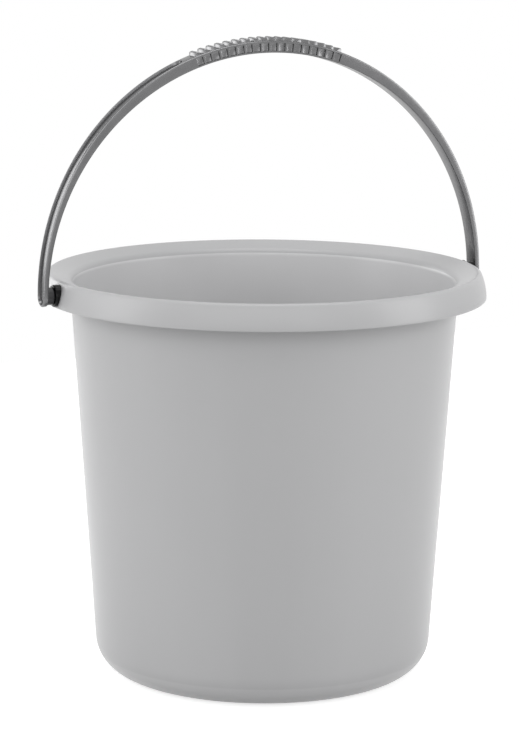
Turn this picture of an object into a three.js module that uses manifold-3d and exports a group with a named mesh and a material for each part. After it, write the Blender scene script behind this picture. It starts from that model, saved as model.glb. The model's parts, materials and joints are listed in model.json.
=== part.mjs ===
// Household bucket: a moulded body with a rolled rim, and a channel-section bail
// that swings on snap pins in two pivot bushes.
// Millimetres, Z up, origin at the centre of the base. The pivot axis runs along X.

import * as THREE from 'three';
import { mergeVertices } from 'three/addons/utils/BufferGeometryUtils.js';
import Module from 'manifold-3d';

const wasm = await Module();
wasm.setup();

const degrees = THREE.MathUtils.degToRad;

// Body: one moulding of even wall thickness
const rimHeight = 261.5;
const rimOverhang = 18.3;
const skirtHeight = 16.4;
const skirtLean = degrees(23.5);
const rollRadius = 3.5;
const lipAngle = degrees(65);
const wallThickness = 2;
const wallTopRadius = 123.7;
const wallDraft = degrees(3.88);
const cornerRadius = 23;
const footRingWidth = 5;
const floorRise = 3;
const floorStepAngle = degrees(40);

// Pivots in the skirt
const bushRaise = 0.7;
const seatGap = 0.3;
const bushBore = 7.2;
const bushWall = 1.2;
const bushFlange = 14;
const bushStand = 2;
const bushLip = 1.1;
const bushLength = 8;
const ribSpacing = 22;
const ribThickness = 2;

// Bail
const bailClearance = 6.6;
const bailWidth = 12.8;
const bailEndThickness = 3.1;
const bailGripThickness = 7.5;
const bailTaper = 1.5;
const bailCentreDrop = 1.1;
const bailEdgeRound = 0.8;
const flangeWidth = 2.2;
const webThickness = 1.8;
const bossInset = 0.1;
const pinClearance = 0.3;
const headOverhang = 0.7;
const headLength = 4.2;
const slotWidth = 1.8;
const slotDepth = 6;

// Grip at the top of the bail
const gripHalfLength = 54;
const landLength = 4;
const toothPitch = 5.8;
const toothWidth = 3.5;
const toothHeight = 2.2;
const toothTopWidth = 2.3;
const toothInset = 0.5;
const pocketWidth = 4.2;
const pocketHeight = 4.5;
const pocketDepth = 1.8;

// Facets
const roundSides = 72;
const pinSides = 20;
const archSteps = 56;
const flareSteps = 5;
const rollSteps = 2;
const overRollSteps = 4;
const skirtSteps = 3;
const cornerSteps = 6;
const overrun = 1;

// Heights and radii that follow from the sizes above
const skirtFoot = rimHeight - skirtHeight;
const skirtRadius = wallTopRadius + rimOverhang;
const rimSteps = flareSteps + rollSteps + overRollSteps + skirtSteps;
const rollDrop = rollRadius * (1 - Math.sin(skirtLean));
const skirtCurve = (skirtHeight - rollDrop) / Math.sin(skirtLean);
const crestRadius = skirtRadius - rollRadius * Math.cos(skirtLean) - skirtCurve * (1 - Math.cos(skirtLean));
const pivotHeight = skirtFoot + bushRaise + bushFlange / 2;
const holeRadius = bushBore / 2 + bushWall + seatGap;
const bushFace = skirtRadius + bushStand;
const bushEnd = bushFace - bushLength;
const pinRadius = bushBore / 2 - pinClearance;
const bailRadius = skirtRadius + bailClearance;
const bailCentre = pivotHeight - bailCentreDrop;
const gripAngle = Math.asin(gripHalfLength / (bailRadius + bailGripThickness));
const landAngle = landLength / (bailRadius + bailGripThickness);
const bailTip = (bailWidth / 2 + overrun) / bailRadius;

// Solids from three.js geometry, and back
function toSolid(geometry) {
  const bare = geometry.index ? geometry.toNonIndexed() : geometry.clone();
  for (const name of Object.keys(bare.attributes)) {
    if (name !== 'position') bare.deleteAttribute(name);
  }
  const merged = mergeVertices(bare, 1e-4);
  const corners = merged.index.array;
  const faces = [];
  for (let i = 0; i < corners.length; i += 3) {
    const [a, b, c] = corners.subarray(i, i + 3);
    if (a !== b && b !== c && c !== a) faces.push(a, b, c);
  }
  return new wasm.Manifold(new wasm.Mesh({
    numProp: 3,
    vertProperties: new Float32Array(merged.attributes.position.array),
    triVerts: new Uint32Array(faces),
  }));
}

function toMesh(name, solid, material) {
  const { vertProperties, triVerts } = solid.getMesh();
  const geometry = new THREE.BufferGeometry();
  geometry.setAttribute('position', new THREE.BufferAttribute(vertProperties, 3));
  geometry.setIndex(new THREE.BufferAttribute(triVerts, 1));
  geometry.computeVertexNormals();
  const mesh = new THREE.Mesh(geometry, material);
  mesh.name = name;
  return mesh;
}

function join(solids) {
  return solids.reduce((whole, solid) => whole.add(solid));
}

// Turns a closed outline of [radius, height] points about the Z axis
function revolve(outline) {
  const profile = outline.map(([radius, height]) => new THREE.Vector2(radius, height));
  if (THREE.ShapeUtils.area(profile) < 0) profile.reverse();
  profile.push(profile[0].clone());
  return toSolid(new THREE.LatheGeometry(profile, roundSides).rotateX(Math.PI / 2));
}

// Extrudes an outline drawn in X and Z along Y, evenly to both sides of Y = 0
function prismAlongY(outline, width, edgeRound = 0) {
  const shape = new THREE.Shape(outline.map(([x, z]) => new THREE.Vector2(x, z)));
  const geometry = new THREE.ExtrudeGeometry(shape, {
    depth: width - 2 * edgeRound,
    bevelEnabled: edgeRound > 0,
    bevelThickness: edgeRound,
    bevelSize: edgeRound,
    bevelOffset: -edgeRound,
    bevelSegments: 1,
  });
  return toSolid(geometry.translate(0, 0, edgeRound - width / 2).rotateX(Math.PI / 2));
}

// A round bar along X, with its two radii, from x = start to x = end at the pivots' height
function barAlongX(startRadius, endRadius, start, end) {
  const geometry = new THREE.CylinderGeometry(endRadius, startRadius, end - start, pinSides);
  geometry.rotateZ(-Math.PI / 2).translate((start + end) / 2, 0, pivotHeight);
  return toSolid(geometry);
}

function block(width, depth, height, x, y, z) {
  return toSolid(new THREE.BoxGeometry(width, depth, height).translate(x, y, z));
}

// Walks along the inner skin of the moulding as a draughtsman would, by straights and turns.
// A heading of 0 points up and a quarter turn points outwards; the material is on the right.
class Skin {
  constructor(radius, height, heading) {
    this.at = { radius, height, heading };
    this.stations = [this.at];
  }

  straight(length) {
    const { radius, height, heading } = this.at;
    this.at = {
      radius: radius + length * Math.sin(heading),
      height: height + length * Math.cos(heading),
      heading,
    };
    this.stations.push(this.at);
    return this;
  }

  // A positive angle turns to the right, towards the material
  turn(bend, angle, steps) {
    const start = this.at;
    const side = Math.sign(angle);
    for (let i = 1; i <= steps; i++) {
      const heading = start.heading + angle * i / steps;
      this.at = {
        radius: start.radius + side * bend * (Math.cos(start.heading) - Math.cos(heading)),
        height: start.height + side * bend * (Math.sin(heading) - Math.sin(start.heading)),
        heading,
      };
      this.stations.push(this.at);
    }
    return this;
  }

  // The same line, moved into the material by a depth
  offset(depth) {
    return this.stations.map(({ radius, height, heading }) => [
      Math.max(0, radius + depth * Math.cos(heading)),
      height - depth * Math.sin(heading),
    ]);
  }
}

// Lip, rolled crest and skirt, from a place on the straight wall to the skirt's lower edge
function rollRim(skin) {
  const { radius, height, heading } = skin.at;
  const endRadius = crestRadius - rollRadius * Math.cos(lipAngle);
  const endHeight = rimHeight - rollRadius * (1 - Math.sin(lipAngle));
  const outwards = endRadius - radius;
  const upwards = endHeight - height;
  const across = Math.cos(heading) - Math.cos(lipAngle);
  const along = Math.sin(lipAngle) - Math.sin(heading);
  const determinant = Math.cos(lipAngle - heading) - 1;
  const wallLength = (outwards * along - upwards * across) / determinant;
  const flareRadius = (Math.sin(heading) * upwards - Math.cos(heading) * outwards) / determinant;
  return skin
    .straight(wallLength)
    .turn(flareRadius, lipAngle - heading, flareSteps)
    .turn(rollRadius, Math.PI / 2 - lipAngle, rollSteps)
    .turn(rollRadius, Math.PI / 2 - skirtLean, overRollSteps)
    .turn(skirtCurve, skirtLean, skirtSteps);
}

function innerSkin() {
  const cornerTangent = cornerRadius * Math.tan((Math.PI / 2 - wallDraft) / 2);
  const ringOuter = wallTopRadius - skirtFoot * Math.tan(wallDraft) - cornerTangent;
  const stepRadius = floorRise / (2 * (1 - Math.cos(floorStepAngle)));
  const stepWidth = 2 * stepRadius * Math.sin(floorStepAngle);
  const skin = new Skin(0, wallThickness + floorRise, Math.PI / 2)
    .straight(ringOuter - footRingWidth - stepWidth)
    .turn(stepRadius, floorStepAngle, 3)
    .turn(stepRadius, -floorStepAngle, 3)
    .straight(footRingWidth)
    .turn(cornerRadius - wallThickness, wallDraft - Math.PI / 2, cornerSteps);
  return rollRim(skin);
}

const skin = innerSkin();
const rimStart = skin.stations.length - rimSteps - 1;

// The band between two depths below the inner skin, for the rim only
function rimBand(from, to) {
  return revolve([...skin.offset(from).slice(rimStart), ...skin.offset(to).slice(rimStart).reverse()]);
}

// Everything inside the skirt's outer face, grown by a gap
function rimFilled(gap) {
  const outside = skin.offset(-gap).slice(rimStart + flareSteps + rollSteps);
  const foot = skirtFoot - bushFlange;
  return revolve([[0, foot], [0, rimHeight + gap], ...outside, [skirtRadius + gap, foot]]);
}

// Two ribs behind the skirt, either side of each pivot
function pivotRibs(side) {
  const middleSkin = wallThickness / 2;
  const below = skirtFoot - ribThickness;
  const inside = revolve([
    ...skin.offset(middleSkin).slice(rimStart + 1),
    [skirtRadius - middleSkin, below],
    [wallTopRadius - ribThickness * Math.tan(wallDraft) - middleSkin, below],
  ]);
  const reach = skirtRadius - wallTopRadius;
  const middle = side * (skirtRadius + wallTopRadius) / 2;
  const ribs = [-1, 1].map((way) => block(
    reach + 2 * wallThickness, ribThickness, skirtHeight,
    middle, way * ribSpacing / 2, skirtFoot + skirtHeight / 2,
  ));
  return join(ribs).intersect(inside);
}

function makeBody() {
  let body = revolve([...skin.offset(0), ...skin.offset(wallThickness).reverse()]);
  for (const side of [-1, 1]) {
    body = body.add(pivotRibs(side));
    const [start, end] = [side * bushEnd, side * bushFace].sort((a, b) => a - b);
    body = body.subtract(barAlongX(holeRadius, holeRadius, start, end));
  }
  return body;
}

// A black bush: a flange that fills the lean of the skirt, a sleeve and a snap lip
function makeBush() {
  const boreRadius = bushBore / 2;
  const sleeveRadius = boreRadius + bushWall;
  const lipRadius = sleeveRadius + bushLip;
  const flange = barAlongX(bushFlange / 2, bushFlange / 2, bushEnd, bushFace).subtract(rimFilled(seatGap));
  const sleeve = barAlongX(sleeveRadius, sleeveRadius, bushEnd, bushFace - bushStand / 2);
  const lip = barAlongX(sleeveRadius, lipRadius, bushEnd, bushEnd + bushLip)
    .add(barAlongX(lipRadius, lipRadius, bushEnd + bushLip, skirtRadius - 2 * wallThickness))
    .subtract(rimBand(-seatGap, wallThickness + seatGap));
  const bore = barAlongX(boreRadius, boreRadius, bushEnd - overrun, bushFace + overrun);
  return join([flange, sleeve, lip]).subtract(bore);
}

// Thickness of the bail at an angle about its centre, 0 at a pivot and a quarter turn at the top
function bailThickness(angle) {
  const rise = Math.max(0, Math.sin(angle)) ** bailTaper;
  return bailEndThickness + (bailGripThickness - bailEndThickness) * rise;
}

function archPoint(radius, angle) {
  return [radius * Math.cos(angle), bailCentre + radius * Math.sin(angle)];
}

// A stretch of the arch between two radii, each a function of the angle
function archOutline(inner, outer, from, to) {
  const steps = Math.max(2, Math.round(archSteps * (to - from) / Math.PI));
  const angles = Array.from({ length: steps + 1 }, (_, i) => from + (to - from) * i / steps);
  return [
    ...angles.map((angle) => archPoint(outer(angle), angle)),
    ...angles.map((angle) => archPoint(inner(angle), angle)).reverse(),
  ];
}

// Moves a piece made at the top of a circle about the origin to its place on the arch
function placeOnArch(geometry, angle, radius) {
  return geometry.translate(0, 0, radius).rotateY(Math.PI / 2 - angle).translate(0, 0, bailCentre);
}

// What lies below the pivots, outside a round end of the given width
function roundEnd(width) {
  const reach = bailRadius + bailGripThickness;
  const below = block(2 * reach, 2 * bailWidth, 2 * bailWidth, 0, 0, pivotHeight - bailWidth);
  return below.subtract(barAlongX(width / 2, width / 2, -reach - overrun, reach + overrun));
}

// The channel on one limb, open outwards, round at both ends
function channel(mirrored) {
  const width = bailWidth - 2 * flangeWidth;
  const top = Math.PI / 2 - gripAngle - landAngle - width / 2 / bailRadius;
  const floor = () => bailRadius + webThickness;
  const open = (angle) => bailRadius + bailThickness(angle) + overrun;
  const limb = prismAlongY(archOutline(floor, open, -bailTip, top), width).subtract(roundEnd(width));
  const height = bailThickness(top) - webThickness + overrun;
  const cap = new THREE.CylinderGeometry(width / 2, width / 2, height, pinSides).rotateX(Math.PI / 2);
  const whole = limb.add(toSolid(placeOnArch(cap, top, bailRadius + webThickness + height / 2)));
  return mirrored ? whole.mirror([1, 0, 0]) : whole;
}

// Evenly spaced angles either side of the top, inside the given length
function gripAngles(reach) {
  const radius = bailRadius + bailGripThickness;
  const half = Math.floor(reach / toothPitch);
  return Array.from({ length: 2 * half }, (_, i) => Math.PI / 2 + (i - half + 0.5) * toothPitch / radius);
}

function tooth(angle) {
  const foot = bailEdgeRound + overrun;
  const shape = new THREE.Shape([
    new THREE.Vector2(-toothWidth / 2, -foot),
    new THREE.Vector2(toothWidth / 2, -foot),
    new THREE.Vector2(toothWidth / 2, toothHeight / 2),
    new THREE.Vector2(toothTopWidth / 2, toothHeight),
    new THREE.Vector2(-toothTopWidth / 2, toothHeight),
    new THREE.Vector2(-toothWidth / 2, toothHeight / 2),
  ]);
  const length = bailWidth - 2 * toothInset;
  const geometry = new THREE.ExtrudeGeometry(shape, { depth: length, bevelEnabled: false });
  geometry.translate(0, 0, -length / 2).rotateX(Math.PI / 2);
  return toSolid(placeOnArch(geometry, angle, bailRadius + bailThickness(angle)));
}

function pocket(angle, side) {
  const depth = pocketDepth + overrun;
  const geometry = new THREE.BoxGeometry(pocketWidth, depth, pocketHeight);
  geometry.translate(0, side * (bailWidth / 2 - pocketDepth + depth / 2), 0);
  return toSolid(placeOnArch(geometry, angle, bailRadius + bailThickness(angle) / 2));
}

// Boss, pin and split snap head at one end of the bail
function pivotPin(side) {
  const bossFace = bushFace + seatGap;
  const headStart = bushEnd - seatGap;
  const headEnd = headStart - headLength;
  const headRadius = bushBore / 2 + headOverhang;
  const bossRadius = bailWidth / 2 - bossInset;
  const boss = barAlongX(bossRadius, bossRadius, bossFace, bailRadius + webThickness / 2);
  const pin = barAlongX(pinRadius, pinRadius, headStart - headLength / 2, bossFace + overrun);
  const head = barAlongX(pinRadius - headOverhang, headRadius, headEnd, headStart - headOverhang)
    .add(barAlongX(headRadius, headRadius, headStart - headOverhang, headStart));
  const slot = block(slotDepth, 4 * headRadius, slotWidth,
    headEnd + slotDepth / 2 - overrun, 0, pivotHeight);
  const whole = join([pin, head]).subtract(slot).add(boss);
  return side < 0 ? whole.mirror([1, 0, 0]) : whole;
}

function makeBail() {
  const outline = archOutline(
    () => bailRadius,
    (angle) => bailRadius + bailThickness(angle),
    -bailTip,
    Math.PI + bailTip,
  );
  const strip = prismAlongY(outline, bailWidth, bailEdgeRound);
  const teeth = gripAngles(gripHalfLength).map(tooth);
  const pockets = gripAngles(gripHalfLength - toothPitch / 2)
    .flatMap((angle) => [pocket(angle, -1), pocket(angle, 1)]);
  return strip
    .subtract(roundEnd(bailWidth))
    .subtract(join([channel(false), channel(true), ...pockets]))
    .add(join([...teeth, pivotPin(1), pivotPin(-1)]));
}

const greyPlastic = new THREE.MeshStandardMaterial({ color: 0xb2b3b5, roughness: 0.35, metalness: 0 });
const darkMetallised = new THREE.MeshStandardMaterial({ color: 0x77787a, roughness: 0.25, metalness: 0.8 });
const blackPlastic = new THREE.MeshStandardMaterial({ color: 0x17181a, roughness: 0.4, metalness: 0 });

const bucket = new THREE.Group();
const bush = makeBush();
bucket.add(toMesh('bucket_body', makeBody(), greyPlastic));
bucket.add(toMesh('pivot_bush_left', bush.mirror([1, 0, 0]), blackPlastic));
bucket.add(toMesh('pivot_bush_right', bush, blackPlastic));
bucket.add(toMesh('bail_handle', makeBail(), darkMetallised));

export default bucket;
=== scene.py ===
"""Household bucket with a channel-section bail, dressed for its picture in a pale studio."""

import json
import math

import bmesh
import bpy
from bpy.props import FloatProperty, FloatVectorProperty, IntProperty, PointerProperty
from mathutils import Matrix, Vector


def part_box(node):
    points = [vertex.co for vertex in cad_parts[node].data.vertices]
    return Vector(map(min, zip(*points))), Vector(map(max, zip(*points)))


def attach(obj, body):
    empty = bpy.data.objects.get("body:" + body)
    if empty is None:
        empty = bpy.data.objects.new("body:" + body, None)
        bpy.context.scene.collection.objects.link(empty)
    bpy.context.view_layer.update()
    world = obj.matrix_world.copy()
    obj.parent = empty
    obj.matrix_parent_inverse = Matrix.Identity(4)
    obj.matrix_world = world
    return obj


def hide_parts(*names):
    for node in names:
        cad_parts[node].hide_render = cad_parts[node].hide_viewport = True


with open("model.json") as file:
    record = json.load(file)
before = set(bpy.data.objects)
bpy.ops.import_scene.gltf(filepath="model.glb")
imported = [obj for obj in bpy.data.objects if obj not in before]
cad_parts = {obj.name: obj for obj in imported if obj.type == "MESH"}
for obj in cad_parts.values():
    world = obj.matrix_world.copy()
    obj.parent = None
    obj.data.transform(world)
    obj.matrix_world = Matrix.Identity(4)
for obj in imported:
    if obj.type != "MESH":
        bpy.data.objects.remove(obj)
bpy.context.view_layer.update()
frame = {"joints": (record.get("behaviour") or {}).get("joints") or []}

bl_info = {
    "name": "Household bucket",
    "version": (1, 0, 0),
    "blender": (4, 5, 0),
    "location": "View3D > Sidebar > Bucket",
    "description": "Models and finishes a household bucket with a swinging bail",
    "category": "Add Mesh",
}

MM = 0.001

# Two places closer than this are taken as one
NEAR = 1e-6

# A face looks along an axis when its normal has at least this much of it
SQUARE_ON = 0.999

# Thickness of the bail's strip beside the pivots, which also sets the arch's inner radius
BAIL_END_THICKNESS = 3.1 * MM

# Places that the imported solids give
body_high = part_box("bucket_body")[1]
bail_low, bail_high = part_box("bail_handle")
bush_low, bush_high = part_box("pivot_bush_right")
pivot_height = frame["joints"][0]["pos_m"][2]


# Properties

def length(name, description, default):
    return FloatProperty(
        name=name, description=description, default=default,
        min=0.0, precision=5, subtype="DISTANCE", unit="LENGTH",
    )


def angle(name, description, default):
    return FloatProperty(
        name=name, description=description, default=math.radians(default),
        subtype="ANGLE", unit="ROTATION",
    )


def amount(name, description, default):
    return FloatProperty(name=name, description=description, default=default, min=0.0, precision=3)


def count(name, description, default):
    return IntProperty(name=name, description=description, default=default, min=1)


def linear(level):
    return level / 12.92 if level <= 0.04045 else ((level + 0.055) / 1.055) ** 2.4


def colour(name, description, red, green, blue):
    default = tuple(linear(level / 255) for level in (red, green, blue))
    return FloatVectorProperty(
        name=name, description=description, default=default, size=3, min=0.0, max=1.0, subtype="COLOR",
    )


class BodySizes(bpy.types.PropertyGroup):
    """Sizes of the moulded body."""
    rim_radius: length("Rim radius", "Outer radius at the skirt's lower edge", body_high.x)
    rim_height: length("Rim height", "Height of the rolled rim's crest", body_high.z)
    skirt_height: length("Skirt height", "From the crest to the skirt's lower edge", 16.4 * MM)
    skirt_lean: angle("Skirt lean", "Lean of the skirt where it leaves the roll", 23.5)
    roll_radius: length("Roll radius", "Outer radius of the rolled crest", 2.6 * MM)
    lip_angle: angle("Lip angle", "Angle of the flared lip below the crest", 69)
    flare_radius: length("Flare radius", "Round between the wall and the flared lip, inside", 6 * MM)
    wall: length("Wall", "Even thickness of the moulding", 2 * MM)
    wall_top_radius: length("Wall top radius", "Outer radius of the wall beside the skirt's edge", 123.7 * MM)
    wall_draft: angle("Wall draft", "Taper of the wall", 3.88)
    corner_radius: length("Corner radius", "Round between the wall and the base", 23 * MM)
    ring_width: length("Foot ring width", "Width of the flat ring that the bucket stands on", 5 * MM)
    floor_rise: length("Floor rise", "Height of the floor above the foot ring", 3 * MM)
    floor_step: angle("Floor step", "Slope of the step up to the floor", 40)
    edge_round: length("Edge round", "Round on the skirt's lower edge", 0.6 * MM)
    rib_spacing: length("Rib spacing", "Between the two ribs behind each pivot", 22 * MM)
    rib_thickness: length("Rib thickness", "Thickness of each rib", 2 * MM)
    hole_gap: length("Hole gap", "Between a bush's sleeve and its hole", 0.3 * MM)
    hole_sides: count("Hole sides", "Segments round a pivot hole", 64)
    sides: count("Sides", "Segments round the body", 192)
    smooth_angle: angle("Smooth angle", "Edges that turn more than this stay hard", 40)


class BushSizes(bpy.types.PropertyGroup):
    """Sizes of the black pivot bushes."""
    flange: length("Flange", "Diameter of the flange", bush_high.z - bush_low.z)
    flange_round: length("Flange round", "Round on the flange's edge", 0.9 * MM)
    face: length("Face", "Distance of the flange's face from the middle", bush_high.x)
    end: length("Inner end", "Distance of the sleeve's end from the middle", bush_low.x)
    bore: length("Bore", "Diameter of the bore", 7.2 * MM)
    sleeve_wall: length("Sleeve wall", "Thickness of the sleeve", 1.2 * MM)
    lip: length("Lip", "How far the snap lip stands out", 1.1 * MM)
    lip_inset: length("Lip inset", "From the skirt's lower edge inwards to the snap lip", 6 * MM)
    lip_lead: length("Lip lead", "Lead on the snap lip's catching side", 0.3 * MM)
    seat_gap: length("Seat gap", "Between the flange and the skirt", 0.12 * MM)
    running_gap: length("Running gap", "Between a bush's ends and the boss and snap head", 0.3 * MM)
    sides: count("Sides", "Segments round a bush", 48)
    smooth_angle: angle("Smooth angle", "Edges that turn more than this stay hard", 35)


class BailSizes(bpy.types.PropertyGroup):
    """Sizes of the bail, its grip and its pins."""
    radius: length("Radius", "Inner radius of the arch", bail_high.x - BAIL_END_THICKNESS)
    width: length("Width", "Width of the strip", bail_high.y - bail_low.y)
    end_thickness: length("End thickness", "Thickness beside the pivots", BAIL_END_THICKNESS)
    grip_thickness: length("Grip thickness", "Thickness at the top", 7.5 * MM)
    taper: amount("Taper", "How late the strip thickens towards the top", 1.5)
    centre_drop: length("Centre drop", "Arch centre below the pivots", 1.1 * MM)
    edge_round: length("Edge round", "Round along the strip's outer edges", 0.8 * MM)
    inner_round: length("Inner round", "Round along the strip's inner edges", 0.5 * MM)
    fine_round: length("Fine round", "Round on the teeth, pockets and channel", 0.22 * MM)
    flange_width: length("Flange width", "Width of each flange beside the channel", 1.3 * MM)
    channel_depth: length("Channel depth", "Depth of the channel below the flanges", 1.7 * MM)
    grip_half: length("Half grip", "Half the length of the toothed grip", 54 * MM)
    land: length("Land", "From the grip to the channel's end", 4 * MM)
    pitch: length("Tooth pitch", "Distance from tooth to tooth", 5.8 * MM)
    tooth_width: length("Tooth width", "Width of a tooth at its foot", 3.5 * MM)
    tooth_top: length("Tooth top", "Width of a tooth at its top", 2.3 * MM)
    tooth_height: length("Tooth height", "How far a tooth stands up", 2.2 * MM)
    tooth_round: length("Tooth round", "Round along a tooth's crown", 0.55 * MM)
    tooth_taper: amount("Tooth taper", "Length of a tooth's top as a share of its foot's", 0.93)
    pocket_rib: length("Pocket rib", "Half the rib between two pockets", 0.55 * MM)
    pocket_depth: length("Pocket depth", "Depth of a pocket in the flank", 1.3 * MM)
    pocket_draft: length("Pocket draft", "How far a pocket's sides close in towards its floor", 0.15 * MM)
    slice_length: length("Slice length", "Length of the straight pieces that make the curve", 4 * MM)
    pin_clearance: length("Pin clearance", "Between the pin and the bore, on the radius", 0.3 * MM)
    boss_inset: length("Boss inset", "Boss inside the strip's edge", 0.9 * MM)
    boss_round: length("Boss round", "Round on the boss's edge", 0.5 * MM)
    head_overhang: length("Head overhang", "Snap head beyond the bore, on the radius", 0.7 * MM)
    head_length: length("Head length", "Length of the snap head", 4.2 * MM)
    slot_width: length("Slot width", "Slot that lets the head flex", 1.8 * MM)
    slot_depth: length("Slot depth", "Depth of that slot", 6 * MM)
    slot_overrun: length("Slot overrun", "How far the slot's tool starts before the head", 1 * MM)
    sides: count("Sides", "Segments round a pin and a round end", 48)
    round_angle: angle("Round angle", "Edges that turn more than this get the fine round", 45)
    smooth_angle: angle("Smooth angle", "Edges of the strip that turn more than this stay hard", 30)
    pin_smooth_angle: angle("Pin smooth angle", "Edges of a pin that turn more than this stay hard", 35)


class Finishes(bpy.types.PropertyGroup):
    """Colours and gloss of the finishes."""
    body: colour("Body", "Light grey moulded plastic", 163, 163, 164)
    # Lighter than the body: painted light, standing in for light that falls into the bucket
    inside_painted_light: colour("Inside", "The body's inner skin below the flare", 190, 190, 191)
    # Lighter than the body: painted light, standing in for light bounced up from the floor onto the foot
    foot_painted_bounce: colour("Foot", "The body below its base line", 170, 170, 171)
    base_line: length("Base line", "Height below which the foot's tone shows", 14 * MM)
    base_line_blur: length("Base line blur", "Half the height over which that tone fades in", 0.8 * MM)
    scuff_height: length("Scuff height", "Height up to which the foot is scuffed", 16 * MM)
    body_roughness: amount("Body roughness", "Satin of the moulded plastic", 0.3)
    bush: colour("Bush", "Black moulded plastic", 10, 10, 11)
    bush_roughness: amount("Bush roughness", "Sheen of the bushes", 0.25)
    bail: colour("Bail", "Dark metallised plastic", 111, 111, 112)
    # Darker than the bail: painted shade in the grip's pockets
    pocket_painted_shade: colour("Bail recess", "Thin plating in the grip's pockets", 78, 78, 79)
    bail_roughness: amount("Bail roughness", "Gloss of the plating", 0.24)
    # Darker than the bail: painted shade where the bosses and pins sit between the bail and the skirt
    pin: colour("Pin", "Thin plating on the bosses and pins", 62, 62, 63)
    floor: colour("Floor", "Studio floor", 205, 205, 205)


class StudioSizes(bpy.types.PropertyGroup):
    """The camera and the light."""
    azimuth: angle("Azimuth", "Camera's angle round the bucket, from straight ahead", 23.8)
    distance: length("Distance", "Camera to the bucket's axis, along the floor", 1.97299)
    height: length("Height", "Camera above the floor", 0.56111)
    aim_height: length("Aim height", "Height of the point that the camera faces", 0.19609)
    aim_left: length("Aim left", "How far left of the axis the camera faces", 2.8 * MM)
    roll: FloatProperty(name="Roll", description="Turn of the camera about its own axis",
                        default=0.0057, subtype="ANGLE", unit="ROTATION")
    focal: FloatProperty(name="Focal length", description="Lens, on a sensor 36 mm along the long side",
                         default=151.73, unit="CAMERA")
    sky: amount("Sky level", "Even light from all round", 0.5)
    side_power: amount("Side power", "Power of each side softbox in watts", 17.0)
    side_width: length("Side width", "Width of each side softbox", 0.9)
    side_tall: length("Side height", "Height of each side softbox", 1.4)
    side_out: length("Side distance", "Each side softbox from the axis, sideways", 1.8)
    side_near: length("Side nearness", "Each side softbox from the axis, towards the camera", 0.4)
    side_up: length("Side level", "Each side softbox above the floor", 0.6)
    top_power: amount("Top power", "Power of the softbox overhead in watts", 15.0)
    top_width: length("Top width", "Width and depth of the softbox overhead", 1.2)
    top_up: length("Top level", "Softbox overhead above the floor", 2.0)
    front_power: amount("Front power", "Power of the softbox by the camera in watts", 21.0)
    front_width: length("Front width", "Width of the softbox by the camera", 2.6)
    front_tall: length("Front height", "Height of the softbox by the camera", 1.4)
    front_near: length("Front nearness", "Softbox by the camera from the axis", 2.1)
    front_up: length("Front level", "Softbox by the camera above the floor", 0.85)
    back_power: amount("Back power", "Power of the softbox behind the bucket in watts", 9.0)
    back_width: length("Back width", "Width of the softbox behind the bucket", 1.0)
    back_tall: length("Back height", "Height of the softbox behind the bucket", 0.9)
    back_left: length("Back side", "Softbox behind the bucket, to the left of the axis", 0.8)
    back_far: length("Back distance", "Softbox behind the bucket from the axis", 1.8)
    back_up: length("Back level", "Softbox behind the bucket above the floor", 0.55)
    lamp_aim: length("Lamp aim", "Height of the point that the softboxes face", 0.2)
    floor_half: length("Floor half", "Half the floor's width", 1.1)
    floor_glow: amount("Floor glow", "Light that the floor adds where it is seen", 0.7)
    floor_gap: length("Floor gap", "Keeps the floor's face off the foot ring's", 0.1 * MM)


class BucketSettings(bpy.types.PropertyGroup):
    """Everything that a user would change."""
    body: PointerProperty(type=BodySizes)
    bush: PointerProperty(type=BushSizes)
    bail: PointerProperty(type=BailSizes)
    finish: PointerProperty(type=Finishes)
    studio: PointerProperty(type=StudioSizes)


# Drawing and shaping

class Pen:
    """Draws a chain of edges in the plane of X and Z. A heading of 0 points up, a quarter turn outwards."""

    def __init__(self, mesh, x, z, heading):
        self.mesh = mesh
        self.tip = mesh.verts.new((x, 0, z))
        self.heading = heading
        self.moves = []

    def straight(self, distance):
        start = self.tip
        made = bmesh.ops.extrude_vert_indiv(self.mesh, verts=[start])
        self.tip = made["verts"][0]
        step = Vector((math.sin(self.heading), 0, math.cos(self.heading))) * distance
        bmesh.ops.translate(self.mesh, verts=[self.tip], vec=step)
        self.moves.append((start.co.copy(), self.heading, 0.0, 0.0, distance))
        return self

    def turn(self, radius, bend, steps):
        """A positive bend turns to the right."""
        start = self.tip
        right = Vector((math.cos(self.heading), 0, -math.sin(self.heading)))
        centre = start.co + right * math.copysign(radius, bend)
        made = bmesh.ops.spin(
            self.mesh, geom=[start], cent=centre, axis=(0, 1, 0), angle=bend, steps=steps,
        )
        self.tip = next(item for item in made["geom_last"] if isinstance(item, bmesh.types.BMVert))
        self.moves.append((start.co.copy(), self.heading, radius, bend, steps))
        self.heading += bend
        return self

    def to(self, x, z):
        """Draws to a point."""
        made = bmesh.ops.extrude_vert_indiv(self.mesh, verts=[self.tip])
        self.tip = made["verts"][0]
        self.tip.co = (x, 0, z)
        return self


def follow(mesh, moves, depth):
    """Draws the same moves again, at a depth to the right of them."""
    place, heading = moves[0][:2]
    pen = Pen(mesh, place.x + depth * math.cos(heading), place.z - depth * math.sin(heading), heading)
    for _, _, radius, bend, size in moves:
        if bend:
            pen.turn(radius - math.copysign(depth, bend), bend, size)
        else:
            pen.straight(size)
    return pen


def whole(mesh):
    return mesh.verts[:] + mesh.edges[:] + mesh.faces[:]


def close_up(mesh):
    bmesh.ops.remove_doubles(mesh, verts=mesh.verts[:], dist=2 * NEAR)
    bmesh.ops.recalc_face_normals(mesh, faces=mesh.faces[:])


def turn_on_lathe(mesh, sides):
    """Spins the profile in the plane of X and Z round the Z axis."""
    bmesh.ops.spin(
        mesh, geom=mesh.verts[:] + mesh.edges[:], cent=(0, 0, 0), axis=(0, 0, 1),
        angle=2 * math.pi, steps=sides, use_merge=True,
    )
    close_up(mesh)


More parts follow.
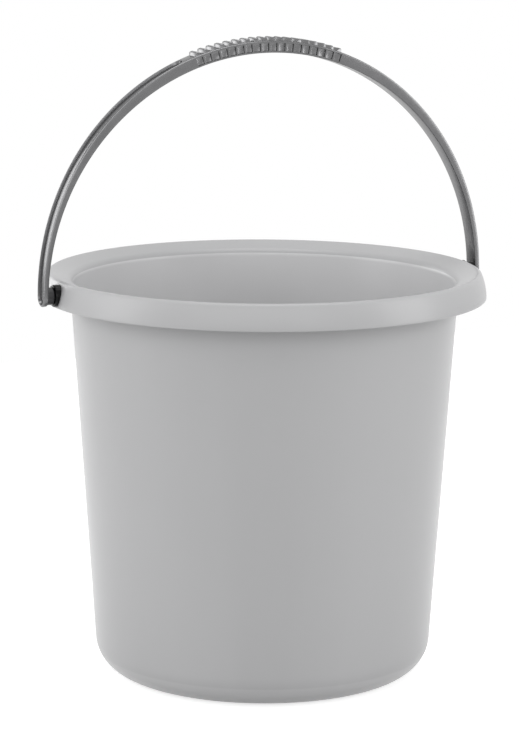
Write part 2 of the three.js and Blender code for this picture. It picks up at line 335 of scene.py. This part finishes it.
def lay_along_x(mesh, side):
    """Lays a shape turned about Z along the pivot axis, on one side of the bucket."""
    bmesh.ops.rotate(mesh, verts=mesh.verts[:], matrix=Matrix.Rotation(math.pi / 2, 3, "Y"))
    bmesh.ops.scale(mesh, verts=mesh.verts[:], vec=(side, 1, 1))
    bmesh.ops.translate(mesh, verts=mesh.verts[:], vec=(0, 0, pivot_height))
    bmesh.ops.recalc_face_normals(mesh, faces=mesh.faces[:])


def slice_across(mesh, x, geometry=None):
    bmesh.ops.bisect_plane(
        mesh, geom=geometry or whole(mesh), dist=0.1 * NEAR, plane_co=(x, 0, 0), plane_no=(1, 0, 0),
    )


def add_object(mesh, name):
    data = bpy.data.meshes.new(name)
    mesh.to_mesh(data)
    mesh.free()
    piece = bpy.data.objects.new(name, data)
    bpy.context.scene.collection.objects.link(piece)
    return piece


def apply_modifiers(piece):
    graph = bpy.context.evaluated_depsgraph_get()
    old = piece.data
    made = bpy.data.meshes.new_from_object(piece.evaluated_get(graph))
    piece.modifiers.clear()
    piece.data = made
    bpy.data.meshes.remove(old)
    made.name = piece.name


def carve(piece, tool_mesh, operation):
    """Joins a shape to a piece or cuts it away."""
    tool = add_object(tool_mesh, piece.name + "_tool")
    modifier = piece.modifiers.new("Carve", "BOOLEAN")
    modifier.operation = operation
    modifier.solver = "EXACT"
    modifier.object = tool
    apply_modifiers(piece)
    bpy.data.objects.remove(tool)


def finish_piece(piece, body, nodes, materials, smooth_angle):
    piece.data.materials.clear()
    for material in materials:
        piece.data.materials.append(material)
    piece.data.shade_smooth()
    piece.data.set_sharp_from_angle(angle=smooth_angle)
    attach(piece, body)
    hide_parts(*nodes)


# Materials

class Wire:
    """A number on its way through a material's nodes. Arithmetic on it adds Math nodes."""

    def __init__(self, finish, socket):
        self.finish = finish
        self.socket = socket

    def __add__(self, other):
        return self.finish.maths("ADD", self, other)

    def __radd__(self, other):
        return self.finish.maths("ADD", other, self)

    def __sub__(self, other):
        return self.finish.maths("SUBTRACT", self, other)

    def __rsub__(self, other):
        return self.finish.maths("SUBTRACT", other, self)

    def __mul__(self, other):
        return self.finish.maths("MULTIPLY", self, other)

    def __rmul__(self, other):
        return self.finish.maths("MULTIPLY", other, self)


class Finish:
    """The node tree of one material or world."""

    def __init__(self, owner):
        owner.use_nodes = True
        self.owner = owner
        self.tree = owner.node_tree
        self.tree.nodes.clear()

    def node(self, kind, settings=None, sockets=None):
        made = self.tree.nodes.new(kind)
        for name, value in (settings or {}).items():
            setattr(made, name, value)
        for name, value in (sockets or {}).items():
            if isinstance(value, Wire):
                self.tree.links.new(value.socket, made.inputs[name])
            else:
                made.inputs[name].default_value = value
        return made

    def wire(self, kind, settings, sockets, output=0):
        return Wire(self, self.node(kind, settings, sockets).outputs[output])

    def maths(self, operation, first, second):
        return self.wire("ShaderNodeMath", {"operation": operation}, {0: first, 1: second})

    def place(self):
        return self.wire("ShaderNodeTexCoord", {}, {}, "Object")

    def height(self, place):
        return self.wire("ShaderNodeSeparateXYZ", {}, {0: place}, "Z")

    def stretched(self, place, x, y, z):
        return self.wire("ShaderNodeMapping", {}, {"Vector": place, "Scale": (x, y, z)})

    def noise(self, place, scale, detail=2.0, roughness=0.5):
        sockets = {"Vector": place, "Scale": scale, "Detail": detail, "Roughness": roughness}
        return self.wire("ShaderNodeTexNoise", {}, sockets)

    def band(self, value, low, high, to_low=0.0, to_high=1.0):
        """A smooth step from one level to another between two values."""
        sockets = {"Value": value, "From Min": low, "From Max": high, "To Min": to_low, "To Max": to_high}
        return self.wire("ShaderNodeMapRange", {"interpolation_type": "SMOOTHSTEP"}, sockets)

    def mix(self, factor, first, second):
        return self.wire("ShaderNodeMix", {"data_type": "RGBA"}, {0: factor, 6: first, 7: second}, 2)

    def bump(self, height, strength, distance):
        return self.wire("ShaderNodeBump", {}, {"Height": height, "Strength": strength, "Distance": distance})

    def surface(self, sockets):
        shader = self.wire("ShaderNodeBsdfPrincipled", {}, sockets)
        self.node("ShaderNodeOutputMaterial", {}, {"Surface": shader})
        return self.owner


def rgba(value, factor=1.0):
    return (*(min(1.0, level * factor) for level in value), 1.0)


def body_plastic(name, value, look):
    """Satin polypropylene: faint cloud and flow lines, a fine grain, and scuffs towards the foot."""
    finish = Finish(bpy.data.materials.new(name))
    place = finish.place()
    height = finish.height(place)
    cloud = finish.noise(place, 11.0, 3.0)
    flow = finish.noise(finish.stretched(place, 38.0, 38.0, 2.2), 1.0, 3.0)
    grain = finish.noise(place, 1500.0, 2.0, 0.6)
    scuff = finish.noise(finish.stretched(place, 1.0, 1.0, 5.0), 160.0, 5.0, 0.7)
    worn = finish.band(height, look.scuff_height, 0.0) * finish.band(scuff, 0.56, 0.66)
    tone = cloud * 0.5 + flow * 0.5
    blur = look.base_line_blur
    plain = finish.mix(tone, rgba(value, 0.965), rgba(value, 1.035))
    foot = finish.band(height, look.base_line + blur, look.base_line - blur)
    # Below the base line the colour turns to the foot's lighter tone, which is painted light from the floor
    with_painted_foot_light = finish.mix(foot, plain, rgba(look.foot_painted_bounce))
    coloured = finish.mix(worn * 0.35, with_painted_foot_light, rgba(value, 1.12))
    relief = grain * 0.35 + flow * 0.65
    return finish.surface({
        "Base Color": coloured,
        "Roughness": look.body_roughness + 0.08 * (cloud - 0.5) + 0.06 * (scuff - 0.5) + 0.15 * worn,
        "Normal": finish.bump(relief, 0.06, 0.00025),
        "IOR": 1.49,
        "Specular IOR Level": 0.22,
    })


def plated(name, value, roughness, metallic):
    """Dark plating on plastic: fine pitting, handling marks and a slightly uneven tone."""
    finish = Finish(bpy.data.materials.new(name))
    place = finish.place()
    cloud = finish.noise(place, 45.0, 3.0)
    pits = finish.noise(place, 2600.0, 2.0, 0.6)
    marks = finish.noise(finish.stretched(place, 60.0, 420.0, 60.0), 1.0, 4.0, 0.65)
    return finish.surface({
        "Base Color": finish.mix(cloud * 0.6 + marks * 0.4, rgba(value, 0.8), rgba(value, 1.22)),
        "Metallic": metallic,
        "Specular Tint": (0.8, 0.8, 0.8, 1.0),
        "Roughness": roughness + 0.14 * (marks - 0.5) + 0.08 * (pits - 0.5),
        "Normal": finish.bump(pits * 0.4 + marks * 0.6, 0.12, 0.00015),
    })


def black_plastic(look):
    """Black moulded plastic with a slight sheen and a fine grain."""
    finish = Finish(bpy.data.materials.new("bush_black_plastic"))
    place = finish.place()
    grain = finish.noise(place, 1900.0, 2.0, 0.6)
    dust = finish.noise(place, 420.0, 4.0, 0.7)
    return finish.surface({
        "Base Color": finish.mix(finish.band(dust, 0.45, 0.75), rgba(look.bush), rgba(look.bush, 1.8)),
        "Roughness": look.bush_roughness + 0.2 * (dust - 0.5),
        "Normal": finish.bump(grain, 0.2, 0.00012),
        "IOR": 1.5,
        "Specular IOR Level": 0.12,
    })


def studio_floor(studio, look):
    """White floor that keeps the shadow, lifted to the background's white where it is seen."""
    finish = Finish(bpy.data.materials.new("studio_floor"))
    path = finish.node("ShaderNodeLightPath")
    seen = Wire(finish, path.outputs["Is Camera Ray"]) + Wire(finish, path.outputs["Is Glossy Ray"])
    glow = finish.mix(seen, rgba((0, 0, 0)), rgba((1, 1, 1)))
    return finish.surface({
        "Base Color": rgba(look.floor),
        "Roughness": 0.9,
        "Specular IOR Level": 0.0,
        "Emission Color": glow,
        "Emission Strength": studio.floor_glow,
    })


# Pieces

def draw_inner_skin(mesh, sizes):
    """The inside of the moulding from the floor's middle over the rim to the skirt's edge.

    Also gives the number of moves before the flare.
    """
    lean, lip, draft = sizes.skirt_lean, sizes.lip_angle, sizes.wall_draft
    foot = sizes.rim_height - sizes.skirt_height
    tangent = sizes.corner_radius * math.tan((math.pi / 2 - draft) / 2)
    ring_outer = sizes.wall_top_radius - foot * math.tan(draft) - tangent
    step_radius = sizes.floor_rise / (2 * (1 - math.cos(sizes.floor_step)))
    step_width = 2 * step_radius * math.sin(sizes.floor_step)
    pen = Pen(mesh, 0, sizes.wall + sizes.floor_rise, math.pi / 2)
    pen.straight(ring_outer - sizes.ring_width - step_width)
    pen.turn(step_radius, sizes.floor_step, 6)
    pen.turn(step_radius, -sizes.floor_step, 6)
    pen.straight(sizes.ring_width)
    pen.turn(sizes.corner_radius - sizes.wall, draft - math.pi / 2, 16)

    drop = sizes.roll_radius * (1 - math.sin(lean))
    curve = (sizes.skirt_height - drop) / math.sin(lean)
    crest = sizes.rim_radius - sizes.roll_radius * math.cos(lean) - curve * (1 - math.cos(lean))
    outwards = crest - sizes.roll_radius * math.cos(lip) - pen.tip.co.x
    upwards = sizes.rim_height - sizes.roll_radius * (1 - math.sin(lip)) - pen.tip.co.z
    outwards -= sizes.flare_radius * (math.cos(draft) - math.cos(lip))
    upwards -= sizes.flare_radius * (math.sin(lip) - math.sin(draft))
    determinant = math.sin(draft - lip)
    pen.straight((outwards * math.cos(lip) - upwards * math.sin(lip)) / determinant)
    wall_moves = len(pen.moves)
    pen.turn(sizes.flare_radius, lip - draft, 10)
    pen.straight((upwards * math.sin(draft) - outwards * math.cos(draft)) / determinant)
    pen.turn(sizes.roll_radius, math.pi / 2 - lip, 5)
    pen.turn(sizes.roll_radius, math.pi / 2 - lean, 12)
    pen.turn(curve, lean, 10)
    return pen, wall_moves


def draw_rib(mesh, rim_moves, sizes):
    """One rib: the space between wall, rim and skirt, to the middle of their walls."""
    follow(mesh, rim_moves, sizes.wall / 2)
    foot = sizes.rim_height - sizes.skirt_height
    bmesh.ops.bisect_plane(
        mesh, geom=mesh.verts[:] + mesh.edges[:], dist=0.1 * NEAR,
        plane_co=(0, 0, foot), plane_no=(0, 0, -1), clear_outer=True,
    )
    ends = [vert for vert in mesh.verts if len(vert.link_edges) == 1]
    mesh.edges.new(ends)
    bmesh.ops.edgeloop_fill(mesh, edges=mesh.edges[:])
    made = bmesh.ops.extrude_face_region(mesh, geom=mesh.faces[:])
    moved = [item for item in made["geom"] if isinstance(item, bmesh.types.BMVert)]
    bmesh.ops.translate(mesh, verts=moved, vec=(0, sizes.rib_thickness, 0))
    offset = sizes.rib_spacing / 2
    inset = offset ** 2 / (sizes.rim_radius + sizes.wall_top_radius)
    bmesh.ops.translate(mesh, verts=mesh.verts[:], vec=(-inset, offset - sizes.rib_thickness / 2, 0))
    halves = whole(mesh)
    for axis in ("Y", "X"):
        bmesh.ops.mirror(mesh, geom=halves, axis=axis, merge_dist=-1)
        halves = whole(mesh)
    bmesh.ops.recalc_face_normals(mesh, faces=mesh.faces[:])


class BUCKET_OT_body(bpy.types.Operator):
    """Model the moulded body with its rolled rim, skirt, ribs and pivot holes"""
    bl_idname = "bucket.body"
    bl_label = "Bucket body"

    def execute(self, context):
        sizes = context.scene.bucket.body
        bush = context.scene.bucket.bush
        mesh = bmesh.new()
        inner, wall_moves = draw_inner_skin(mesh, sizes)
        outer = follow(mesh, inner.moves, sizes.wall)
        mesh.edges.new((inner.tip, outer.tip))
        turn_on_lathe(mesh, sizes.sides)
        foot = sizes.rim_height - sizes.skirt_height
        halfway = (sizes.wall_top_radius + sizes.rim_radius) / 2
        edges = [
            edge for edge in mesh.edges
            if all(abs(vert.co.z - foot) < NEAR and vert.co.xy.length > halfway for vert in edge.verts)
            and abs(edge.verts[0].co.xy.length - edge.verts[1].co.xy.length) < NEAR
        ]
        bmesh.ops.bevel(
            mesh, geom=edges, offset=sizes.edge_round, segments=3, profile=0.5,
            affect="EDGES", material=-1,
        )
        piece = add_object(mesh, "bucket_shell")

        ribs = bmesh.new()
        draw_rib(ribs, inner.moves[wall_moves:], sizes)
        carve(piece, ribs, "UNION")
        holes = bmesh.new()
        hole_radius = bush.bore / 2 + bush.sleeve_wall + sizes.hole_gap
        for side in (-1, 1):
            middle = Matrix.Translation((side * (bush.face + bush.end) / 2, 0, pivot_height))
            bmesh.ops.create_cone(
                holes, cap_ends=True, segments=sizes.hole_sides, radius1=hole_radius, radius2=hole_radius,
                depth=bush.face - bush.end, matrix=middle @ Matrix.Rotation(math.pi / 2, 4, "Y"),
            )
        carve(piece, holes, "DIFFERENCE")
        look = context.scene.bucket.finish
        materials = [
            body_plastic("bucket_grey_plastic", look.body, look),
            # The inside's material is the body's plastic painted lighter, as painted light
            body_plastic("bucket_inside_painted_light", look.inside_painted_light, look),
        ]
        finish_piece(piece, "bucket", ["bucket_body"], materials, sizes.smooth_angle)
        # Inner wall and inner base faces take the lighter inside material, which is painted light
        for face in piece.data.polygons:
            middle, normal = face.center, face.normal
            steep = abs(normal.z) < math.cos(sizes.lip_angle)
            inner_wall = steep and middle.xy.dot(normal.xy) < 0 and middle.xy.length < sizes.wall_top_radius
            inner_base = normal.z > 0.05 and middle.z < sizes.corner_radius
            face.material_index = int(inner_wall or inner_base)
        return {"FINISHED"}


def skirt_reach(place, sizes):
    """How far out the skirt's face stands, seen along X from a place beside the pivot."""
    lean = sizes.skirt_lean
    drop = sizes.roll_radius * (1 - math.sin(lean))
    curve = (sizes.skirt_height - drop) / math.sin(lean)
    rise = place.z - (sizes.rim_height - sizes.skirt_height)
    radius = sizes.rim_radius - curve + math.sqrt(curve ** 2 - rise ** 2)
    return math.sqrt(radius ** 2 - place.y ** 2)


class BUCKET_OT_bushes(bpy.types.Operator):
    """Model the two black bushes that the bail's pins turn in"""
    bl_idname = "bucket.bushes"
    bl_label = "Pivot bushes"

    def execute(self, context):
        sizes = context.scene.bucket.bush
        body = context.scene.bucket.body
        material = black_plastic(context.scene.bucket.finish)
        bore, sleeve = sizes.bore / 2, sizes.bore / 2 + sizes.sleeve_wall
        flange, lip = sizes.flange / 2, sizes.bore / 2 + sizes.sleeve_wall + sizes.lip
        seat = body.rim_radius + sizes.seat_gap
        lip_top = body.rim_radius - sizes.lip_inset
        for name, side in (("left", -1), ("right", 1)):
            mesh = bmesh.new()
            pen = Pen(mesh, bore + sizes.flange_round / 2, sizes.face, math.pi / 2)
            first = pen.tip
            pen.straight(flange - 1.5 * sizes.flange_round - bore)
            pen.turn(sizes.flange_round, math.pi / 2, 5)
            pen.to(flange, seat).to(sleeve, seat).to(sleeve, lip_top).to(lip, lip_top - sizes.lip_lead)
            pen.to(lip, sizes.end + sizes.lip).to(sleeve, sizes.end).to(bore, sizes.end)
            pen.to(bore, sizes.face - sizes.flange_round / 2)
            mesh.edges.new((pen.tip, first))
            turn_on_lathe(mesh, sizes.sides)
            lay_along_x(mesh, side)
            for vert in mesh.verts:
                if abs(abs(vert.co.x) - seat) < 10 * NEAR:
                    vert.co.x = side * (skirt_reach(vert.co, body) + sizes.seat_gap)
            piece = add_object(mesh, "bush_" + name)
            nodes = ["pivot_bush_" + name]
            finish_piece(piece, "bucket", nodes, [material], sizes.smooth_angle)
        return {"FINISHED"}


def flat_bar(sizes, half):
    """A straight bar with round ends, edges rounded, lying along X with its inner face down."""
    mesh = bmesh.new()
    bmesh.ops.create_circle(
        mesh, cap_ends=True, segments=sizes.sides, radius=sizes.width / 2,
        matrix=Matrix.Rotation(math.pi / sizes.sides, 4, "Z"),
    )
    for vert in mesh.verts:
        vert.co.x += math.copysign(half, vert.co.x)
    made = bmesh.ops.extrude_face_region(mesh, geom=mesh.faces[:])
    raised = [item for item in made["geom"] if isinstance(item, bmesh.types.BMVert)]
    bmesh.ops.translate(mesh, verts=raised, vec=(0, 0, sizes.grip_thickness))
    bmesh.ops.recalc_face_normals(mesh, faces=mesh.faces[:])
    for level, offset in ((0, sizes.inner_round), (sizes.grip_thickness, sizes.edge_round)):
        rim = [edge for edge in mesh.edges if all(abs(vert.co.z - level) < NEAR for vert in edge.verts)]
        bmesh.ops.bevel(mesh, geom=rim, offset=offset, segments=4, profile=0.5, affect="EDGES", material=-1)
    return mesh


def press_pockets(mesh, sizes, pitch, per_side):
    """A row of pockets in each flank of the grip."""
    for line in range(-per_side, per_side + 1):
        slice_across(mesh, line * pitch)
    flanks = [
        face for face in mesh.faces
        if abs(face.normal.y) > SQUARE_ON and abs(face.calc_center_median().x) < per_side * pitch
    ]
    bmesh.ops.inset_individual(mesh, faces=flanks, thickness=sizes.pocket_rib, use_even_offset=True)
    bmesh.ops.inset_individual(
        mesh, faces=flanks, thickness=sizes.pocket_draft, depth=-sizes.pocket_depth, use_even_offset=True,
    )
    # Pocket faces take the second material, which is darker as painted shade
    for face in flanks:
        face.material_index = 1


def raise_teeth(mesh, sizes, pitch, per_side, shrink):
    """A row of teeth across the top of the grip."""
    half = sizes.tooth_width * shrink / 2
    centres = [(line + 0.5) * pitch for line in range(-per_side, per_side)]

    def tops():
        return [face for face in mesh.faces if face.normal.z > SQUARE_ON]

    for centre in centres:
        for edge in (centre - half, centre + half):
            faces = tops()
            around = {part for face in faces for part in (*face.verts, *face.edges)}
            slice_across(mesh, edge, faces + list(around))
    feet = [
        face for face in tops()
        if any(abs(face.calc_center_median().x - centre) < half / 2 for centre in centres)
    ]
    made = bmesh.ops.extrude_discrete_faces(mesh, faces=feet)
    for face in made["faces"]:
        middle = face.calc_center_median()
        bmesh.ops.translate(mesh, verts=face.verts[:], vec=(0, 0, sizes.tooth_height))
        bmesh.ops.scale(
            mesh, verts=face.verts[:], vec=(sizes.tooth_top / sizes.tooth_width, sizes.tooth_taper, 1),
            space=Matrix.Translation(-middle),
        )
    crowns = {edge for face in made["faces"] for edge in face.edges}
    bmesh.ops.bevel(
        mesh, geom=list(crowns), offset=sizes.tooth_round, segments=3, profile=0.5,
        affect="EDGES", material=-1,
    )


def bend_to_arch(mesh, sizes, centre):
    """Bends the straight bar to the arch, and thins it below the channel towards the pivots."""
    full = sizes.grip_thickness
    foot, channel_floor = sizes.inner_round, full - sizes.channel_depth
    for vert in mesh.verts:
        turn = vert.co.x / sizes.radius
        rise = max(0.0, math.cos(turn)) ** sizes.taper
        lost = (full - sizes.end_thickness) * (1 - rise)
        level = vert.co.z
        share = min(1.0, max(0.0, (level - foot) / (channel_floor - foot)))
        reach = sizes.radius + level - lost * share
        vert.co.x = reach * math.sin(turn)
        vert.co.z = centre + reach * math.cos(turn)


class BUCKET_OT_bail(bpy.types.Operator):
    """Model the bail: a channel-section arch with a toothed and pocketed grip"""
    bl_idname = "bucket.bail"
    bl_label = "Bail"

    def execute(self, context):
        sizes = context.scene.bucket.bail
        look = context.scene.bucket.finish
        centre = pivot_height - sizes.centre_drop
        half = sizes.radius * (math.pi / 2 - sizes.centre_drop / sizes.radius)
        outside = sizes.radius + sizes.grip_thickness
        shrink = sizes.radius / outside
        pitch = sizes.pitch * shrink
        teeth = math.floor(sizes.grip_half / sizes.pitch)

        mesh = flat_bar(sizes, half)
        press_pockets(mesh, sizes, pitch, teeth)
        raise_teeth(mesh, sizes, pitch, teeth, shrink)
        piece = add_object(mesh, "bail_strip")
        materials = [
            plated("bail_plating", look.bail, look.bail_roughness, 0.85),
            # Second material: the bail's plating darkened as painted shade for the pockets
            plated("bail_pocket_painted_shade", look.pocket_painted_shade, look.bail_roughness + 0.12, 0.7),
        ]
        for material in materials:
            piece.data.materials.append(material)

        channel_width = sizes.width - 2 * sizes.flange_width
        start = sizes.radius * math.asin(sizes.grip_half / outside)
        start += (sizes.land + channel_width / 2) * shrink
        cutter = bmesh.new()
        for side in (-1, 1):
            made = bmesh.ops.create_cone(
                cutter, cap_ends=True, segments=sizes.sides, depth=sizes.grip_thickness,
                radius1=channel_width / 2, radius2=channel_width / 2,
                matrix=Matrix.Translation((0, 0, 1.5 * sizes.grip_thickness - sizes.channel_depth))
                @ Matrix.Rotation(math.pi / sizes.sides, 4, "Z"),
            )
            for vert in made["verts"]:
                vert.co.x = side * (vert.co.x + (half if vert.co.x > 0 else start))
        bmesh.ops.recalc_face_normals(cutter, faces=cutter.faces[:])
        carve(piece, cutter, "DIFFERENCE")

        mesh = bmesh.new()
        mesh.from_mesh(piece.data)
        bpy.data.objects.remove(piece)
        bmesh.ops.remove_doubles(mesh, verts=mesh.verts[:], dist=NEAR)
        steps = math.ceil(2 * half / sizes.slice_length)
        for step in range(1, steps):
            slice_across(mesh, -half + step * 2 * half / steps)
        bend_to_arch(mesh, sizes, centre)
        piece = add_object(mesh, "bail_strip")
        modifier = piece.modifiers.new("Fine rounds", "BEVEL")
        modifier.width = sizes.fine_round
        modifier.segments = 2
        modifier.limit_method = "ANGLE"
        modifier.angle_limit = sizes.round_angle
        apply_modifiers(piece)
        finish_piece(piece, "bail", ["bail_handle"], materials, sizes.smooth_angle)
        return {"FINISHED"}


class BUCKET_OT_pins(bpy.types.Operator):
    """Model the boss, pin and split snap head at each end of the bail"""
    bl_idname = "bucket.pins"
    bl_label = "Bail pins"

    def execute(self, context):
        sizes = context.scene.bucket.bail
        bush = context.scene.bucket.bush
        look = context.scene.bucket.finish
        # The pins' plating is darker than the bail's as painted shade between the bail and the skirt
        material = plated("pin_painted_shade_plating", look.pin, look.bail_roughness + 0.08, 0.7)
        boss_face = bush.face + bush.running_gap
        head_start = bush.end - bush.running_gap
        head_end = head_start - sizes.head_length
        pin = bush.bore / 2 - sizes.pin_clearance
        head = bush.bore / 2 + sizes.head_overhang
        boss = sizes.width / 2 - sizes.boss_inset
        boss_end = sizes.radius + (sizes.end_thickness - sizes.channel_depth) / 2
        for name, side in (("left", -1), ("right", 1)):
            mesh = bmesh.new()
            pen = Pen(mesh, 0, head_end, math.pi / 2)
            pen.straight(pin - sizes.head_overhang)
            pen.to(head, head_start - sizes.head_overhang).to(head, head_start).to(pin, head_start)
            pen.to(pin, boss_face).to(boss - sizes.boss_round, boss_face)
            pen.turn(sizes.boss_round, -math.pi / 2, 4)
            pen.to(boss, boss_end).to(0, boss_end)
            turn_on_lathe(mesh, sizes.sides)
            lay_along_x(mesh, side)
            piece = add_object(mesh, "bail_pin_" + name)
            slot = bmesh.new()
            bmesh.ops.create_cube(slot, size=1.0)
            bmesh.ops.scale(slot, verts=slot.verts[:], vec=(sizes.slot_depth, 4 * head, sizes.slot_width))
            middle = side * (head_end + sizes.slot_depth / 2 - sizes.slot_overrun)
            bmesh.ops.translate(slot, verts=slot.verts[:], vec=(middle, 0, pivot_height))
            carve(piece, slot, "DIFFERENCE")
            nodes = ["bail_handle"]
            finish_piece(piece, "bail", nodes, [material], sizes.pin_smooth_angle)
        return {"FINISHED"}


def add_lamp(name, power, width, height, place, aim):
    data = bpy.data.lights.new(name, "AREA")
    data.shape = "RECTANGLE"
    data.size = width
    data.size_y = height
    data.energy = power
    lamp = bpy.data.objects.new(name, data)
    lamp.location = place
    lamp.rotation_euler = (Vector(aim) - Vector(place)).to_track_quat("-Z", "Y").to_euler()
    bpy.context.scene.collection.objects.link(lamp)


class BUCKET_OT_stage(bpy.types.Operator):
    """Set up the camera, the floor and the studio light"""
    bl_idname = "bucket.stage"
    bl_label = "Studio"

    def execute(self, context):
        scene = context.scene
        studio = scene.bucket.studio
        look = scene.bucket.finish
        scene.view_settings.view_transform = "Standard"

        ahead = Vector((math.sin(studio.azimuth), math.cos(studio.azimuth), 0))
        right = Vector((math.cos(studio.azimuth), -math.sin(studio.azimuth), 0))
        data = bpy.data.cameras.new("camera")
        data.sensor_width = 36
        data.lens = studio.focal
        data.clip_start = 0.05
        data.clip_end = 50
        camera = bpy.data.objects.new("camera", data)
        place = Vector((0, 0, studio.height)) - ahead * studio.distance
        toward = Vector((0, 0, studio.aim_height)) - right * studio.aim_left - place
        facing = toward.to_track_quat("-Z", "Y").to_matrix().to_4x4()
        camera.matrix_world = Matrix.Translation(place) @ facing @ Matrix.Rotation(studio.roll, 4, "Z")
        scene.collection.objects.link(camera)
        scene.camera = camera

        floor = bmesh.new()
        bmesh.ops.create_grid(
            floor, x_segments=1, y_segments=1, size=studio.floor_half,
            matrix=Matrix.Translation((0, 0, -studio.floor_gap)),
        )
        floor = add_object(floor, "studio_floor")
        floor.data.materials.append(studio_floor(studio, look))

        aim = Vector((0, 0, studio.lamp_aim))
        for name, way in (("left_softbox", -1), ("right_softbox", 1)):
            place = right * way * studio.side_out - ahead * studio.side_near + Vector((0, 0, studio.side_up))
            add_lamp(name, studio.side_power, studio.side_width, studio.side_tall, place, aim)
        place = Vector((0, 0, studio.top_up))
        add_lamp("top_softbox", studio.top_power, studio.top_width, studio.top_width, place, aim)
        place = Vector((0, 0, studio.front_up)) - ahead * studio.front_near
        add_lamp("front_softbox", studio.front_power, studio.front_width, studio.front_tall, place, aim)
        place = Vector((-studio.back_left, studio.back_far, studio.back_up))
        add_lamp("back_softbox", studio.back_power, studio.back_width, studio.back_tall, place, aim)

        world = Finish(bpy.data.worlds.new("studio_sky"))
        path = world.node("ShaderNodeLightPath")
        rays = ("Is Camera Ray", "Is Glossy Ray", "Is Transmission Ray")
        camera_ray, glossy_ray, clear_ray = (Wire(world, path.outputs[ray]) for ray in rays)
        seen = world.maths("MINIMUM", camera_ray + glossy_ray + clear_ray, 1.0)
        strength = studio.sky + (1 - studio.sky) * seen
        background = world.wire("ShaderNodeBackground", {}, {"Color": (1, 1, 1, 1), "Strength": strength})
        world.node("ShaderNodeOutputWorld", {}, {"Surface": background})
        scene.world = world.owner
        return {"FINISHED"}


class BUCKET_PT_parts(bpy.types.Panel):
    """Lists the bucket's pieces and its studio"""
    bl_idname = "BUCKET_PT_parts"
    bl_label = "Household bucket"
    bl_space_type = "VIEW_3D"
    bl_region_type = "UI"
    bl_category = "Bucket"

    def draw(self, context):
        for operator in operators:
            self.layout.operator(operator.bl_idname)


operators = (BUCKET_OT_stage, BUCKET_OT_body, BUCKET_OT_bushes, BUCKET_OT_bail, BUCKET_OT_pins)
groups = (BodySizes, BushSizes, BailSizes, Finishes, StudioSizes, BucketSettings)
classes = (*groups, *operators, BUCKET_PT_parts)


def register():
    for item in classes:
        bpy.utils.register_class(item)
    bpy.types.Scene.bucket = PointerProperty(type=BucketSettings)


def unregister():
    del bpy.types.Scene.bucket
    for item in reversed(classes):
        bpy.utils.unregister_class(item)


def main():
    register()
    bpy.ops.bucket.stage()
    bpy.ops.bucket.body()
    bpy.ops.bucket.bushes()
    bpy.ops.bucket.bail()
    bpy.ops.bucket.pins()


if __name__ == "__main__":
    main()
